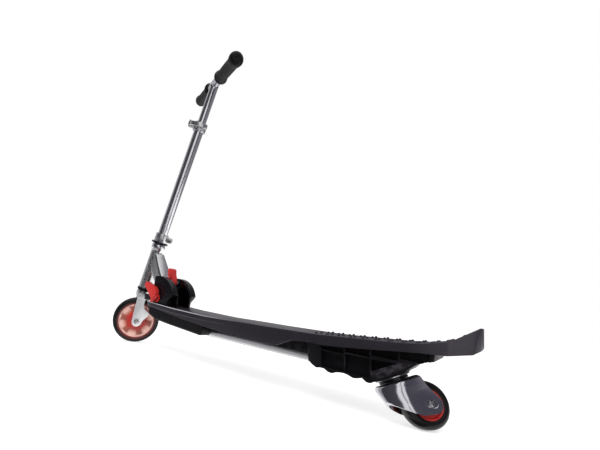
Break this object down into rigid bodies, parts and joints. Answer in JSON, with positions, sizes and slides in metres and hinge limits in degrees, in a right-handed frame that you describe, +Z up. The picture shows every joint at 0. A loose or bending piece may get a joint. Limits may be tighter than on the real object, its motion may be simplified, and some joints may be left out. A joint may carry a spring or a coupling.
{
  "type": "caster scooter",
  "caption": "Folding kick scooter with a steerable front wheel, a long studded deck with a kick tail and a leaning swivel caster at the rear.",
  "frame": {"origin": "on the floor below the middle of the bounding box", "axes": "+X to the rear, -X to the front, -Y to the rider's left, +Z up"},
  "size_m": [0.834, 0.2484, 0.7734],
  "materials": {
    "black_moulding": "satin black moulded plastic",
    "black_grip": "matt soft rubber",
    "tyre": "black polyurethane",
    "red_moulding": "glossy red moulded plastic",
    "copper_core": "clear red plastic with a bright metallic dish",
    "polished_steel": "polished and plated tube",
    "aluminium": "bright satin",
    "plated_steel": "chromed pressing",
    "brushed_steel": "satin",
    "dark_steel": "blackened"
  },
  "bodies": {
    "deck": {"deck_board": "black_moulding", "front_housing": "black_moulding", "rear_housing": "black_moulding", "keel": "black_moulding", "spine_tube": "aluminium", "hinge_bracket": "brushed_steel", "hinge_cover_left": "black_moulding", "hinge_cover_right": "black_moulding", "pivot_bolt": "brushed_steel", "cam_saddle": "red_moulding", "caster_race": "brushed_steel", "kingpin": "brushed_steel"},
    "front_frame": {"front_frame": "aluminium", "lower_cup": "dark_steel", "upper_cup": "polished_steel", "paddle_pin": "dark_steel"},
    "release_paddle": {"release_paddle": "red_moulding"},
    "cam_lever": {"cam_lever": "red_moulding"},
    "steering": {"fork": "brushed_steel", "steerer": "polished_steel", "crown_race": "brushed_steel", "upper_race": "polished_steel", "headset_flange": "dark_steel", "lower_column": "polished_steel", "column_clamp": "aluminium", "column_clamp_bolt": "brushed_steel", "height_collar": "aluminium", "height_collar_bolt": "brushed_steel", "front_axle_bolt": "brushed_steel", "front_axle_nut": "brushed_steel", "front_spacer_left": "brushed_steel", "front_spacer_right": "brushed_steel"},
    "quick_release": {"quick_release_lever": "aluminium"},
    "handlebar": {"handlebar": "polished_steel", "grip_left": "black_grip", "grip_right": "black_grip"},
    "front_wheel": {"front_tyre": "tyre", "front_wheel_core": "copper_core", "front_bearing_left": "brushed_steel", "front_bearing_right": "brushed_steel"},
    "caster": {"swivel_bearing": "dark_steel", "caster_fork": "plated_steel", "rear_axle_bolt": "brushed_steel", "rear_axle_nut": "brushed_steel", "rear_spacer_left": "brushed_steel", "rear_spacer_right": "brushed_steel"},
    "rear_wheel": {"rear_tyre": "tyre", "rear_hub": "red_moulding", "rear_bearing_left": "brushed_steel", "rear_bearing_right": "brushed_steel"}
  },
  "joints": [
    {"name": "fold", "type": "hinge", "parent": "deck", "child": "front_frame", "pos_m": [-0.25148, 0, 0.13374], "axis": [0, 1, 0], "range_deg": [0, 68]},
    {"name": "release", "type": "hinge", "parent": "front_frame", "child": "release_paddle", "pos_m": [-0.24848, 0, 0.17624], "axis": [0, 1, 0], "range_deg": [0, 18], "stiffness_Nm_per_rad": 0.5, "springref_deg": -11.46},
    {"name": "cam_lock", "type": "hinge", "parent": "deck", "child": "cam_lever", "pos_m": [-0.25148, -0.0527, 0.13374], "axis": [0.7071, 0, 0.7071], "range_deg": [0, 110]},
    {"name": "steer", "type": "hinge", "parent": "front_frame", "child": "steering", "pos_m": [-0.37748, 0, 0.06288], "axis": [0.2504, 0, 0.9681], "continuous": true},
    {"name": "collar_lock", "type": "hinge", "parent": "steering", "child": "quick_release", "pos_m": [-0.24689, -0.02942, 0.60134], "axis": [-0.2504, 0, -0.9681], "range_deg": [0, 100]},
    {"name": "bar_height", "type": "slide", "parent": "steering", "child": "handlebar", "axis": [0.2504, 0, 0.9681], "range_m": [-0.095, 0.05]},
    {"name": "front_wheel_spin", "type": "hinge", "parent": "steering", "child": "front_wheel", "pos_m": [-0.37304, 0.00655, 0.06173], "axis": [0.7931, -0.5736, -0.2051], "continuous": true},
    {"name": "caster_swivel", "type": "hinge", "parent": "deck", "child": "caster", "pos_m": [0.29522, 0, 0.07137], "axis": [-0.509, 0, 0.8607], "continuous": true},
    {"name": "rear_wheel_spin", "type": "hinge", "parent": "caster", "child": "rear_wheel", "pos_m": [0.34227, 0.02042, 0.03762], "axis": [0.567, -0.7524, 0.3353], "continuous": true}
  ]
}
